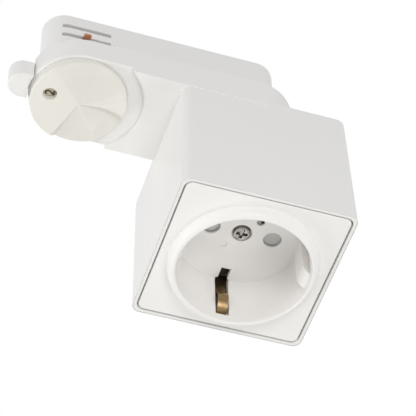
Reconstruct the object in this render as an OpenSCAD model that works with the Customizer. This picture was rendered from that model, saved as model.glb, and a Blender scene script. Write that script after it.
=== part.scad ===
// Three-circuit track adapter with an earthed socket outlet.
// The origin is on the rail's centre line, on the face that bears on the rail, level with the socket.
// +X runs along the rail away from the selector, +Y towards the overhanging side, +Z up into the rail.

/* [Bar] */
// Width of the bar under the rail
bar_w = 30.2; // [29:0.1:36]
// Height of the bar below the rail
bar_h = 11; // [10:0.1:14]
// Distance from the socket's axis to the selector's axis
selector_dist = 53.8; // [50:0.1:62]
// Distance from the socket's axis back to the centre of the bar's blunt end
bar_end_dist = 2; // [0:0.5:6]
// Wall of the bar
bar_wall = 2; // [1.6:0.1:2.4]
// Floor of the bar
bar_floor = 2; // [1.6:0.1:3]
// Floor under the selector
seat_t = 2.4; // [2:0.1:2.8]
// Radius of the shallow step round the selector
step_r = 19.2; // [17:0.1:24]
// Depth of the shallow step round the selector
step_h = 1.4; // [0.6:0.1:1.6]
// Gap under the rail at the selector's end
relief_h = 0.8; // [0.4:0.1:1.2]
// Reach of that gap past the selector's axis
relief_len = 6.5; // [2:0.5:10]

/* [Box] */
// Width of the box at its open end
box_w = 52.6; // [52:0.1:60]
// Draft of each side of the box over its height
box_draft = 0.6; // [0.1:0.1:1]
// How far the box stands out past the bar's near side
box_out = 0.3; // [0.1:0.1:1]
// Corner radius of the box
box_r = 2.6; // [2:0.1:5]
// Chamfer round the box's top
box_chamfer = 1.4; // [0.5:0.1:2]
// Distance from the rail down to the box's top
box_top_drop = 8; // [6:0.1:9]
// Distance from the rail down to the socket plate's face
socket_drop = 55.5; // [54:0.5:70]
// Wall of the box
box_wall = 2.2; // [1.8:0.1:2.6]
// Roof of the box
box_roof = 3; // [2.8:0.1:4]
// Rim of the box round the socket plate
rim_w = 1.05; // [0.8:0.05:1.3]
// Diameter of the posts that carry the socket base
post_d = 7; // [6:0.1:8]
// Distance of those posts from the socket's axis, along X and along Y
post_dist = 17.5; // [17:0.1:18.5]
// Diameter of the wire hole between the box and the bar
wire_hole_d = 9; // [8:0.1:10]

/* [Socket] */
// Dark line round the socket plate
plate_gap = 0.5; // [0.2:0.05:0.6]
// Thickness of the socket plate
plate_t = 2.4; // [2:0.1:3]
// Corner radius of the socket plate
plate_r = 2; // [1.5:0.1:4]
// Height of the collar on the plate
collar_h = 3.4; // [2:0.1:4]
// Radius of the collar where it meets the plate
collar_r = 22.2; // [21.8:0.1:24]
// Radius of the collar at its rim
rim_r = 20.2; // [20.1:0.05:20.8]
// Radius of the plug recess at its rim
recess_r = 19.7; // [19.5:0.05:19.9]
// Taper of the recess from rim to floor
recess_taper = 0.3; // [0.1:0.1:0.5]
// Depth of the plug recess
recess_depth = 17.7; // [17:0.1:18]
// Wall of the cup behind the plate
cup_wall = 1.6; // [1.4:0.1:2]
// Floor of the cup
cup_floor = 1.6; // [1.4:0.1:2]
// Distance between the two pin holes
pin_pitch = 19; // [19:0.5:20]
// Diameter of the pin holes
pin_hole_d = 5.5; // [5.2:0.1:6]
// Width of the guide ribs
guide_w = 5.8; // [4:0.1:6]
// How far the guide ribs stand into the recess
guide_h = 2; // [1:0.1:2.4]
// Plain wall between the rim and the guide ribs
guide_start = 2.4; // [0.8:0.1:3]
// Width of the earth clip slots
clip_slot_w = 4.2; // [4:0.1:5]
// Plain wall between the rim and the earth clip slots
clip_slot_start = 3; // [2.5:0.1:4]
// Reach of the slot's broad end into the floor
floor_slot_in = 1; // [0.6:0.1:1.6]
// Length of the slot's narrow end on the floor
floor_slot_len = 5; // [3:0.1:5.5]
// Width of the slot's narrow end on the floor
floor_slot_w = 3; // [2:0.1:3.6]
// Diameter of the small hole beside the screw, and of the dimple across from it
mark_d = 2.4; // [2:0.1:3]
// Distance of that hole from the screw, along X
mark_x = 4.1; // [3.5:0.1:4.5]
// Distance of that hole from the screw, along Y
mark_y = 5.4; // [5:0.1:6]
// Depth of the dimple
dimple_depth = 0.3; // [0.2:0.1:0.4]
// Depth of the shutter's pocket in the back of the floor
shutter_pocket = 0.9; // [0.6:0.1:1]
// Thickness of the shutter
shutter_t = 1.8; // [1.4:0.1:2.4]
// Radius of the shutter's two lobes
shutter_lobe_r = 3.6; // [3.2:0.1:4]
// Radius of the shutter's hub
shutter_hub_r = 6.6; // [6:0.1:7]
// Radius of the boss that the shutter turns on
boss_r = 3.9; // [3.5:0.1:4.2]
// Radius of the socket base
base_r = 20.2; // [19.5:0.1:20.4]
// Height of the socket base
base_h = 10.2; // [9.5:0.1:12]
// Thickness of the socket base's ears
ear_t = 3; // [2:0.1:4]
// Radius of the socket base's ears
ear_r = 4.2; // [4:0.1:4.6]
// Outer diameter of the pin contacts
tulip_d = 6.8; // [6.4:0.1:7]
// Bore of the pin contacts
tulip_bore = 4.9; // [4.8:0.05:5.2]
// Width of the earth bow's strip
bow_w = 3.2; // [3:0.1:3.8]
// Thickness of the earth bow's strip
bow_t = 0.6; // [0.4:0.1:0.8]
// How far the earth clips stand into the recess
clip_bulge = 1.9; // [1:0.1:2.2]
// Half length of the earth clips' curve
clip_half = 4.4; // [4:0.1:5]
// Open slot between the rim's side and the clip's end
clip_rest = 1.6; // [1:0.1:2]

/* [Selector] */
// Margin between the knob and the bar's outline
knob_inset = 0.6; // [0.2:0.05:0.8]
// Thickness of the knob
knob_t = 3.2; // [3:0.1:5]
// Rounding of the knob's edge
knob_edge = 0.5; // [0.2:0.1:0.8]
// Direction of the knob's grip at rest, from +X
grip_angle = -12; // [-30:1:30]
// Angle from the grip's narrow end to the crease of each scoop
crease_angle = 66; // [60:1:75]
// Angle from each crease to the edge of the broad end
broad_edge = 56; // [45:1:60]
// Angle over which the broad end's wall falls
wall_angle = 19; // [12:1:25]
// Angle from each crease to the edge of the narrow end, at the rim
narrow_edge = 49; // [40:1:55]
// How much wider that angle is at the middle of the knob
narrow_flare = 15; // [0:1:17]
// Angle over which the narrow end's wall falls
narrow_wall = 9; // [6:1:14]
// Depth of the creases at the rim
scoop_depth = 1.3; // [0.8:0.1:2]
// Depth of the broad end's wall at the rim
wall_depth = 1.1; // [0.6:0.1:2]
// Depth of the narrow end's wall at the rim
narrow_depth = 2.5; // [1.5:0.1:2.7]
// Direction of the window at rest, from +X
window_angle = 188; // [180:1:196]
// Distance of the window from the selector's axis
window_dist = 9.1; // [8:0.1:10]
// Diameter of the window
window_d = 4.2; // [3:0.1:5]
// Diameter of the knob's stem
stem_d = 8; // [7:0.1:8.6]
// Side of the knob's square spigot
spigot_w = 4.4; // [4:0.1:5]
// Radius of the number dial
dial_r = 12; // [11.5:0.1:13]
// Thickness of the number dial
dial_t = 0.6; // [0.4:0.1:0.8]
// Distance from the bar's inner wall to the detent cam
cam_margin = 4.1; // [3.9:0.1:5]
// Thickness of the detent cam
cam_t = 1.4; // [1.2:0.1:1.6]
// Angle between two selector positions
detent_angle = 60; // [50:5:60]
// Radius of the detent notches
notch_r = 1.4; // [1:0.1:1.8]
// Radius of the rotor's neck
neck_r = 4.5; // [4.2:0.1:4.6]
// Radius of the rotor's top journal
journal_r = 2; // [1.5:0.1:2.5]
// Reach of the phase contacts from the selector's axis
blade_reach = 8.8; // [8.6:0.1:9]
// Width of the phase contacts
blade_w = 2.2; // [1.8:0.1:2.4]
// Thickness of the phase contacts
blade_t = 1; // [0.8:0.1:1.2]
// Gap between the slip ring and the tongue's roof
ring_drop = 1.3; // [1:0.1:1.6]
// Distance between two phase contacts in height
blade_step = 4.5; // [4:0.1:4.6]
// Radial thickness of the slip ring
ring_t = 0.8; // [0.5:0.1:0.8]
// Height of the slip ring
ring_h = 1.6; // [1.2:0.1:1.8]

/* [Track body] */
// Thickness of the flange that closes the bar
flange_t = 2; // [1.6:0.1:2.2]
// Height of the tongue above the rail's face
tongue_h = 22; // [22:0.1:24]
// Width of the tongue
tongue_w = 14.4; // [14:0.1:15]
// Wall of the tongue
tongue_wall = 1.3; // [1:0.1:1.4]
// Reach of the tongue past the selector's axis
tongue_past = 12.4; // [12.2:0.1:13]
// Distance from the socket's axis to the tongue's blunt end
tongue_end = 8; // [6:0.5:9]
// Chamfer along the tongue's top
tongue_chamfer = 1; // [0.4:0.1:1.2]
// How far the fixed lugs stand out over the rail's lip
lug_out = 2; // [1.5:0.1:2.5]
// Length of each fixed lug
lug_len = 6; // [4:0.5:8]
// Height of the fixed lugs and the bolt above the rail's face
lip_h = 2.1; // [1.9:0.1:2.4]
// Diameter of the body screws
body_screw_d = 2.4; // [2:0.1:2.6]

/* [Lock] */
// Travel of the slider
lock_travel = 4; // [3:0.5:4]
// Travel of the bolt for each millimetre of the slider's
bolt_ratio = 0.5; // [0.4:0.05:0.6]
// Width of the tab
tab_w = 8.6; // [8:0.1:12]
// How far the tab stands out of the bar's end
tab_out = 6.2; // [6:0.1:10]
// Thickness of the tab
tab_h = 7.2; // [6:0.1:7.4]
// Thickness of the slider's plate
slide_t = 1.9; // [1.4:0.1:2]
// Width of the slider's neck
slide_neck_w = 7; // [5:0.1:8]
// Half width of the slider's plate
slide_r = 7; // [6.8:0.1:7.4]
// Distance from the selector's axis to the slider's pin
pin_dist = 16.5; // [16:0.1:18]
// Diameter of the slider's pin
lock_pin_d = 2.6; // [2:0.1:3]
// Thickness of the bolt
bolt_t = 2.6; // [2:0.1:2.8]
// Margin of the bolt round its slanted slot
bolt_margin = 2; // [1.5:0.1:2.2]
// Diameter of the slider's tail
tail_d = 2.4; // [2:0.1:2.6]
// Wire of the lock spring
spring_wire = 0.6; // [0.4:0.1:0.7]
// Length of the lock spring at rest
spring_len = 13; // [11:0.5:14]

/* [Clearances] */
// Play between pieces that move past each other
play = 0.3; // [0.2:0.05:0.4]
// Radial clearance of a shaft in its bore
run = 0.06; // [0.03:0.01:0.1]
// Clearance of a piece in its seat
seat = 0.1; // [0.05:0.05:0.2]

/* [Hidden] */
$fn = 64;
hull_fn = 32;
eps = 0.01;

// Places along the rail and across it
sel_x = -selector_dist;
end_x = -bar_end_dist;
socket_y = (box_w - bar_w) / 2 - box_out;
bar_r = bar_w / 2;
cavity_r = bar_r - bar_wall;
box_cavity_w = box_w - 2 * box_wall;
plate_w = box_w - 2 * (rim_w + plate_gap);
knob_r = bar_r - knob_inset;
cam_r = cavity_r - cam_margin;
tongue_r = tongue_w / 2;

// Levels of the bar and the selector
step_z = -(bar_h - step_h);
seat_z = step_z + seat_t;
deep_z = -(bar_h - bar_floor);
knob_back = step_z - play;
knob_face = knob_back - knob_t;
cam_z = seat_z + play;
slide_z = cam_z + cam_t + play;
slide_top = slide_z + slide_t;
deep_x = sel_x + step_r + bar_floor;

// Levels of the socket
plate_z = -socket_drop;
rim_z = plate_z - collar_h;
floor_z = rim_z + recess_depth;
floor_back = floor_z + cup_floor;
floor_r = recess_r - recess_taper;
cup_r = recess_r + cup_wall;
shutter_z = floor_back - shutter_pocket + play;
base_z = shutter_z + shutter_t + play;
base_top = base_z + base_h;
ceiling_z = -(box_top_drop + box_roof);
clip_slot_z = rim_z + clip_slot_start;

// Socket base: pockets, ears and screws
pocket_d = tulip_d + 2 * seat;
pocket_roof = 1.5;
ear_drop = 3;
ear_top = base_top - ear_drop;
strap_w = 3;
strap_t = 0.8;
strap_len = 8;
strap_half = 4.2;
terminal_out = 5.4;
terminal_x = pin_pitch / 2 + terminal_out;
terminal_y = 12;
terminal_head_d = 4.4;
terminal_head_h = 1.6;
terminal_screw_d = 2.6;
terminal_screw_len = 5;
centre_head_d = 5.4;
centre_head_h = 1.3;
centre_bore_depth = 0.9;
centre_screw_d = 3;
centre_screw_len = 9.5;
cross_w = 0.9;
cross_len = 3.4;
cross_depth = 0.8;
base_screw_d = 2.6;
base_head_d = 5.2;
base_head_h = 2;
base_screw_bite = 8;
torsion_r = 5.2;
torsion_wire = 0.5;
torsion_pocket = 0.7;
torsion_h = 2;
torsion_turns = 3;
slit_w = 0.8;
slit_len = 5;

// Lock: slider, bolt, rib and spring
tab_gap = 0.3;
tab_face_x = sel_x - bar_r - tab_gap;
slot_r = neck_r + play;
lock_pin_r = lock_pin_d / 2;
bolt_lug_x = sel_x + pin_dist;
pin_slot_r = lock_pin_r + play;
bolt_x0 = bolt_lug_x - lock_travel - pin_slot_r - bolt_margin;
bolt_x1 = bolt_lug_x + pin_slot_r + bolt_margin;
bolt_z = lip_h;
bolt_nose = tongue_r + lug_out;
bolt_back = 3.8;
nose_flat = 0.9;
shelf_margin = 0.6;
tail_z = slide_z + play;
rib_t = 2;
rib_w = 10;
rib_gap = 3;
rib_x = bolt_x1 + rib_gap;
tail_end = rib_x + rib_t + spring_len;
lug_disc_r = 2.5;
lug_disc_t = 1.6;
spring_r = 2;
spring_turns = 6;
slide_lead = 1;
coil_sides = 6;

// Tongue: inner space and what stands in it
inner_r = tongue_r - tongue_wall;
tongue_x0 = sel_x - tongue_past + tongue_r;
tongue_x1 = tongue_end - tongue_r;
roof_t = 1.5;
roof_z = tongue_h - roof_t;
rotor_top = roof_z - play;
journal_top = tongue_h - play;
ring_gap = 1.1;
ring_z = roof_z - ring_drop - ring_h;
blade_z = ring_z - ring_gap - blade_t - 2 * blade_step;
blade_root = 3.5;
blade_window_h = blade_t + 2 * play;
blade_window_len = 2 * sqrt(pow(blade_reach, 2) - pow(blade_reach / 2, 2));
window_in = 1.5;
strip_t = 0.45;
brush_w = 2;
brush_gap = 0.4;
brush_x = rib_x + rib_t + brush_gap + brush_w / 2;
brush_lead = 1.5;
strip_foot = -(flange_t + 4.5);
neutral_gap = 7;
neutral_w = 4;
neutral_x = brush_x + neutral_gap + (brush_w + neutral_w) / 2;
neutral_z = 10.5;
bow_rise = 2.6;
bow_out = 1.7;
earth_gap = 3;
earth_w = 6;
earth_x = neutral_x + earth_gap + (neutral_w + earth_w) / 2;
earth_z = 4.9;
bridge_drop = 1;
earth_bridge_z = -flange_t - bridge_drop;
lug_gap = 2;
end_lug_x = earth_x + earth_w / 2 + play + lug_len / 2 + lug_gap;
lug_h = 2.8;
body_screw_xs = [bolt_lug_x - lock_travel, neutral_x + neutral_w / 2];
body_screw_y = (tongue_r + cavity_r) / 2;
body_boss_d = 4.6;
body_head_d = 4.2;
body_head_h = 1.3;
body_screw_len = 6;

// Detent spring and its two seats
leaf_t = 0.4;
leaf_y = cam_r + play + notch_r - leaf_t / 2;
leaf_half = 5.5;
leaf_seat_w = 1.2;

// Wires between the socket's terminals and the rail contacts
wire_hole_x = earth_x + 1;
wire_hole_y = 5.5;
wire_d = 1.8;
wire_r = wire_d / 2;
wire_sides = 8;
wire_steps = 3;
wire_lean = [0.8, 0.5, 0.33];
lie_x = terminal_x + strap_len / 4;
lie_lead = 1;
lie_y = socket_y + (terminal_head_d + wire_d) / 2 + seat;
lie_z = base_top + strap_t + wire_r + seat / 2;
earth_lie_y = socket_y + terminal_y - (terminal_head_d + wire_d) / 2 - seat;
earth_lie_z = base_top + bow_t + wire_r + seat / 2;
mid_z = (lie_z + ceiling_z) / 2;
hole_z = (ceiling_z + deep_z) / 2;
strip_side = inner_r - seat - strip_t - wire_r;
bar_run_z = strip_foot + wire_r;
live_hole = [wire_hole_x - 0.8, wire_hole_y - 2.3, hole_z];
neutral_hole = [wire_hole_x - 1.6, wire_hole_y + 1.5, hole_z];
earth_hole = [wire_hole_x + 2.4, wire_hole_y, hole_z];
earth_end = [earth_x + 1.8, 3.5, earth_bridge_z - seat];
live_route = [
    [-lie_x, lie_y, lie_z],
    [lie_lead - terminal_x, lie_y, lie_z],
    [-11.4, lie_y - 1.6, lie_z + 1.8],
    [-10, 9, mid_z],
    live_hole + [0, 1, -3.7],
    live_hole,
    live_hole + [-0.8, -1.4, 2.1],
    [live_hole[0] - 3.2, -2.2, bar_run_z - 0.8],
    [live_hole[0] - 6.7, -strip_side, bar_run_z],
    [(live_hole[0] + brush_x) / 2, -strip_side, bar_run_z],
    [brush_x - brush_w / 2, -strip_side, bar_run_z]
];
neutral_route = [
    [lie_x, lie_y, lie_z],
    [terminal_x - lie_lead, lie_y, lie_z],
    [9.5, lie_y, lie_z + 1.5],
    [2, 13, mid_z],
    [-6, 9.5, ceiling_z - 3.5],
    neutral_hole + [0.4, 0.4, -2.1],
    neutral_hole,
    neutral_hole + [-1, -0.6, 2.4],
    [neutral_hole[0] - 3.4, strip_side + 0.4, bar_run_z - 0.2],
    [neutral_x + neutral_w / 2, strip_side, bar_run_z],
    [neutral_x - neutral_w / 2, strip_side, bar_run_z]
];
earth_route = [
    [0, earth_lie_y, earth_lie_z],
    [0, earth_lie_y - 3.5, earth_lie_z],
    [-0.6, 11.5, earth_lie_z + 1.2],
    [-4.4, 6.6, mid_z],
    earth_hole + [0.2, 0, -3.7],
    earth_hole,
    (earth_hole + earth_end) / 2 + [0, 0, -0.8],
    earth_end + [0, 0, -1.6],
    earth_end
];

white = "white";
ivory = "ivory";
grey = "lightgray";
metal = "silver";
brass = "goldenrod";
copper = "peru";

// Flat outlines
module stadium(x0, x1, r) {
    translate([x0, 0]) circle(r);
    translate([x1, 0]) circle(r);
    translate([x0, -r]) square([x1 - x0, 2 * r]);
}

module rounded_square(w, r) {
    square([w - 2 * r, w], center = true);
    square([w, w - 2 * r], center = true);
    for (x = [-1, 1], y = [-1, 1])
        translate([x * (w / 2 - r), y * (w / 2 - r)]) circle(r);
}

// A solid of the given outline between two levels
module level(z0, z1) {
    translate([0, 0, z0]) linear_extrude(z1 - z0) children();
}

module at_socket() {
    translate([0, socket_y, 0]) children();
}

module at_selector() {
    translate([sel_x, 0, 0]) children();
}

module hole(r, z0, z1) {
    translate([0, 0, z0]) cylinder(r = r, h = z1 - z0);
}

// A round tube swept along points, each ring square to the path
function unit(v) = v / norm(v);
function along(p, i) = unit(p[min(i + 1, len(p) - 1)] - p[max(i - 1, 0)]);
function spline(a, b, c, d, t) =
    0.5 * (2 * b + (c - a) * t + (2 * a - 5 * b + 4 * c - d) * t * t + (3 * b - a - 3 * c + d) * t * t * t);
function smooth(p, steps) = [
    for (i = [0 : len(p) - 2], s = [0 : steps - 1])
        spline(p[max(i - 1, 0)], p[i], p[i + 1], p[min(i + 2, len(p) - 1)], s / steps),
    p[len(p) - 1]
];

module tube(points, r, sides, side_axis) {
    n = len(points);
    rings = [
        for (i = [0 : n - 1])
            let (t = along(points, i), u = unit(cross(t, side_axis)), v = cross(t, u))
                for (k = [0 : sides - 1])
                    points[i] + r * (cos(360 * k / sides) * u + sin(360 * k / sides) * v)
    ];
    walls = [
        for (i = [0 : n - 2], k = [0 : sides - 1])
            let (m = (k + 1) % sides)
                [i * sides + k, (i + 1) * sides + k, (i + 1) * sides + m, i * sides + m]
    ];
    first = [for (k = [0 : sides - 1]) k];
    last = [for (k = [sides - 1 : -1 : 0]) (n - 1) * sides + k];
    polyhedron(points = rings, faces = concat([first], walls, [last]), convexity = 6);
}

// One moulding: the bar with round ends, and the box that hangs below it
module box_outer() {
    top_w = box_w - 2 * box_draft;
    hull($fn = hull_fn) {
        level(plate_z, plate_z + eps) rounded_square(box_w, box_r);
        level(-box_top_drop - box_chamfer, -box_top_drop - box_chamfer + eps) rounded_square(top_w, box_r);
        level(-box_top_drop - eps, -box_top_drop) rounded_square(top_w - 2 * box_chamfer, box_r);
    }
}

module post_places() {
    for (s = [-1, 1])
        translate([-s * post_dist, s * post_dist, 0]) children();
}

module body_screw_places() {
    for (x = body_screw_xs, y = [-1, 1])
        translate([x, y * body_screw_y, 0]) children();
}

module lock_rib() {
    tail_gap = tail_d + 2 * play;
    difference() {
        translate([rib_x, -rib_w / 2, deep_z - eps]) cube([rib_t, rib_w, -flange_t - play - deep_z + eps]);
        translate([rib_x - eps, -tail_gap / 2, tail_z - tail_gap / 2])
            cube([rib_t + 2 * eps, tail_gap, -tail_z + tail_gap]);
    }
}

module leaf_seats() {
    intersection() {
        for (s = [-1, 1])
            translate([sel_x + s * leaf_half - leaf_seat_w / 2, leaf_y + leaf_t / 2, seat_z - eps])
                cube([leaf_seat_w, bar_r - leaf_y, slide_z - play - seat_z]);
        level(seat_z - eps, 0) stadium(sel_x, end_x, bar_r - bar_wall / 2);
    }
}

module housing() {
    neck_gap = slide_neck_w + 2 * play;
    color(white) {
        difference() {
            union() {
                level(-bar_h, 0) stadium(sel_x, end_x, bar_r);
                at_socket() box_outer();
            }
            level(seat_z, eps) stadium(sel_x, end_x, cavity_r);
            level(deep_z, 0) intersection() {
                stadium(sel_x, end_x, cavity_r);
                translate([deep_x, -bar_r]) square([bar_r + end_x - deep_x, bar_w]);
            }
            at_socket() {
                level(plate_z - eps, ceiling_z) rounded_square(box_cavity_w, box_r);
                level(plate_z - eps, plate_z + plate_t)
                    rounded_square(plate_w + 2 * plate_gap, plate_r + plate_gap);
            }
            at_selector() {
                hole(step_r, -bar_h - eps, step_z);
                hole(stem_d / 2 + run, step_z - eps, seat_z + eps);
                hole(dial_r + seat, step_z - eps, step_z + dial_t);
                translate([-bar_w, -bar_r - eps, -relief_h])
                    cube([bar_w + relief_len, bar_w + 2 * eps, bar_h]);
            }
            translate([sel_x - bar_r - eps, -neck_gap / 2, slide_z - play]) cube([bar_r, neck_gap, bar_h]);
            translate([wire_hole_x, wire_hole_y, 0]) hole(wire_hole_d / 2, ceiling_z - eps, deep_z + eps);
        }
        at_socket() post_places() difference() {
            hole(post_d / 2, ear_top, ceiling_z + eps);
            hole(base_screw_d / 2 + seat, ear_top - eps, ear_top + base_screw_bite + seat);
        }
        body_screw_places() difference() {
            hole(body_boss_d / 2, deep_z - eps, -flange_t);
            hole(body_screw_d / 2 + seat, -body_screw_len - seat, -flange_t + eps);
        }
        lock_rib();
        leaf_seats();
    }
}

// The flange that closes the bar, with the hollow tongue that stands in the rail
module tongue_outer() {
    level(-eps, tongue_h - tongue_chamfer) stadium(tongue_x0, tongue_x1, tongue_r);
    hull($fn = hull_fn) {
        level(tongue_h - tongue_chamfer - eps, tongue_h - tongue_chamfer)
            stadium(tongue_x0, tongue_x1, tongue_r);
        level(tongue_h - eps, tongue_h) stadium(tongue_x0, tongue_x1, tongue_r - tongue_chamfer);
    }
}

module wall_window(x, w, z0, z1, side) {
    y0 = side > 0 ? inner_r - window_in : -tongue_r - lug_out;
    translate([x - w / 2, y0, z0]) cube([w, window_in + tongue_wall + lug_out, z1 - z0]);
}

module track_body() {
    shelf_x0 = bolt_x0 - shelf_margin;
    shelf_x1 = bolt_x1 + shelf_margin;
    color(white) {
        difference() {
            union() {
                level(-flange_t, 0) stadium(sel_x, end_x, cavity_r - seat);
                tongue_outer();
                for (x = [bolt_lug_x, end_lug_x])
                    translate([x - lug_len / 2, 0, lip_h]) cube([lug_len, tongue_r + lug_out, lug_h]);
            }
            difference() {
                level(-flange_t - eps, roof_z) stadium(tongue_x0, tongue_x1, inner_r);
                translate([shelf_x0, -tongue_r, -flange_t])
                    cube([shelf_x1 - shelf_x0, tongue_w, lip_h - seat + flange_t]);
            }
            level(-flange_t - eps, lip_h) stadium(bolt_lug_x - lock_travel, bolt_lug_x, pin_slot_r);
            at_selector() hole(journal_r + run, roof_z - eps, tongue_h + eps);
            for (i = [0 : 2])
                wall_window(sel_x, blade_window_len, blade_z + i * blade_step - blade_window_h / 2,
                    blade_z + i * blade_step + blade_window_h / 2, -1);
            wall_window((bolt_x0 + bolt_x1) / 2, bolt_x1 - bolt_x0 + 2 * seat, lip_h - seat,
                lip_h + bolt_t + seat, -1);
            wall_window(neutral_x, neutral_w + 2 * play, neutral_z - bow_rise - play,
                neutral_z + bow_rise + play, 1);
            for (side = [-1, 1])
                wall_window(earth_x, earth_w + 2 * play, earth_z - bow_rise - play,
                    earth_z + bow_rise + play, side);
            body_screw_places() {
                hole(body_screw_d / 2 + seat, -flange_t - eps, eps);
                translate([0, 0, -body_head_h])
                    cylinder(d1 = body_screw_d + 2 * seat, d2 = body_head_d + 2 * seat,
                        h = body_head_h + eps);
            }
        }
    }
}

// Square plate, round collar and plug recess, in one moulding
module cup_profile() {
    arc_steps = 10;
    lip = rim_r - recess_r;
    flank = [
        for (i = [0 : arc_steps])
            let (a = 90 * i / arc_steps)
                [rim_r + (collar_r - rim_r) * cos(a), plate_z - collar_h * sin(a)]
    ];
    polygon(concat(
        flank,
        [
            [recess_r + lip / 2, rim_z],
            [recess_r, rim_z + lip],
            [floor_r, floor_z],
            [0, floor_z],
            [0, floor_back],
            [cup_r, floor_back],
            [cup_r, plate_z + plate_t],
            [collar_r, plate_z + plate_t]
        ]
    ));
}

module guide_rib() {
    guide_z = rim_z + guide_start;
    root = recess_r + cup_wall / 2;
    rotate([90, 0, 0]) translate([0, 0, -guide_w / 2]) linear_extrude(guide_w)
        polygon([
            [floor_r - guide_h, guide_z + guide_h],
            [recess_r, guide_z],
            [root, guide_z],
            [root, floor_z + cup_floor / 2],
            [floor_r - guide_h, floor_z + cup_floor / 2]
        ]);
}

module clip_slot() {
    y0 = floor_r - floor_slot_in;
    translate([-clip_slot_w / 2, y0, clip_slot_z])
        cube([clip_slot_w, cup_r + seat - y0, floor_back - clip_slot_z + eps]);
    translate([-floor_slot_w / 2, floor_r - floor_slot_len, floor_z - eps])
        cube([floor_slot_w, floor_slot_len, cup_floor + 2 * eps]);
}

module socket_plate() {
    color(white) at_socket() {
        difference() {
            union() {
                difference() {
                    level(plate_z, plate_z + plate_t) rounded_square(plate_w, plate_r);
                    hole(cup_r, plate_z - eps, plate_z + plate_t + eps);
                }
                rotate_extrude() cup_profile();
                for (turn = [0, 180])
                    rotate([0, 0, turn]) guide_rib();
            }
            for (s = [-1, 1])
                translate([s * pin_pitch / 2, 0, 0]) hole(pin_hole_d / 2, floor_z - eps, floor_back + eps);
            hole(centre_screw_d / 2 + seat, floor_z - eps, floor_back + eps);
            hole(centre_head_d / 2 + play, floor_z - eps, floor_z + centre_bore_depth);
            difference() {
                hole(pin_pitch / 2 + shutter_lobe_r + play, floor_back - shutter_pocket, floor_back + eps);
                hole(boss_r, floor_back - shutter_pocket - eps, floor_back + 2 * eps);
            }
            translate([mark_x, -mark_y, 0]) hole(mark_d / 2, floor_z - eps, floor_back + eps);
            translate([-mark_x, mark_y, 0]) hole(mark_d / 2, floor_z - eps, floor_z + dimple_depth);
            for (turn = [0, 180])
                rotate([0, 0, turn]) clip_slot();
        }
    }
}

// Insulating base behind the plate: pockets for the contacts, a boss for the shutter, two ears
module socket_base() {
    ear_reach = post_dist * sqrt(2);
    screw_end = floor_z + centre_bore_depth + centre_screw_len + seat;
    color(grey) at_socket() {
        difference() {
            union() {
                hole(base_r, base_z, base_top);
                hole(boss_r, floor_back, base_z + eps);
                post_places() hole(ear_r, ear_top - ear_t, ear_top);
                rotate([0, 0, 135])
                    translate([-ear_reach, -ear_r, ear_top - ear_t]) cube([2 * ear_reach, 2 * ear_r, ear_t]);
            }
            for (s = [-1, 1]) translate([s * pin_pitch / 2, 0, 0]) {
                hole(pocket_d / 2, base_z - eps, base_top - pocket_roof);
                translate([0, 0, base_top - pocket_roof])
                    cube([strap_t + 2 * seat, strap_w + 2 * seat, 3 * pocket_roof], center = true);
            }
            difference() {
                hole(torsion_r + torsion_pocket, base_z - eps, base_z + torsion_h + play);
                hole(torsion_r - torsion_pocket, base_z - 2 * eps, base_z + torsion_h + 2 * play);
            }
            hole(centre_screw_d / 2 + seat, floor_back - eps, screw_end);
            post_places() hole(base_screw_d / 2 + seat, ear_top - ear_t - eps, ear_top + eps);
            terminal_places()
                hole(terminal_screw_d / 2 + seat, base_top - terminal_screw_len, base_top + eps);
        }
    }
}

module terminal_places() {
    for (s = [-1, 1])
        translate([s * terminal_x, 0, 0]) children();
    translate([0, terminal_y, 0]) children();
}

// Cross-headed screw that holds the plate to the base
module centre_screw() {
    head_z = floor_z + centre_bore_depth - centre_head_h;
    neck_z = head_z + centre_head_h;
    color(metal) at_socket() {
        difference() {
            union() {
                translate([0, 0, head_z])
                    cylinder(d1 = centre_head_d - cross_depth, d2 = centre_head_d, h = centre_head_h);
                hole(centre_screw_d / 2, neck_z - eps, neck_z + centre_screw_len);
            }
            for (turn = [0, 90])
                rotate([0, 0, turn])
                    translate([0, 0, head_z]) cube([cross_len, cross_w, 2 * cross_depth], center = true);
        }
    }
}

module base_screws() {
    color(metal) at_socket() post_places() {
        hole(base_head_d / 2, ear_top - ear_t - base_head_h, ear_top - ear_t);
        hole(base_screw_d / 2, ear_top - ear_t - eps, ear_top + base_screw_bite);
    }
}

// Turning shutter: a hub on the base's boss with a lobe behind each pin hole
module shutter() {
    color("gray") at_socket() level(shutter_z, shutter_z + shutter_t) difference() {
        union() {
            circle(shutter_hub_r);
            stadium(-pin_pitch / 2, pin_pitch / 2, shutter_lobe_r);
        }
        circle(boss_r + run);
    }
}

module shutter_spring() {
    coil_rings = 14;
    start = base_z + torsion_wire / 2 + seat;
    pitch = (torsion_h - torsion_wire) / (torsion_turns * coil_rings);
    coil = [
        for (i = [0 : torsion_turns * coil_rings])
            let (a = 360 * i / coil_rings)
                [torsion_r * cos(a), torsion_r * sin(a), start + i * pitch]
    ];
    color(metal) at_socket() tube(coil, torsion_wire / 2, coil_sides, [0, 0, 1]);
}

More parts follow.
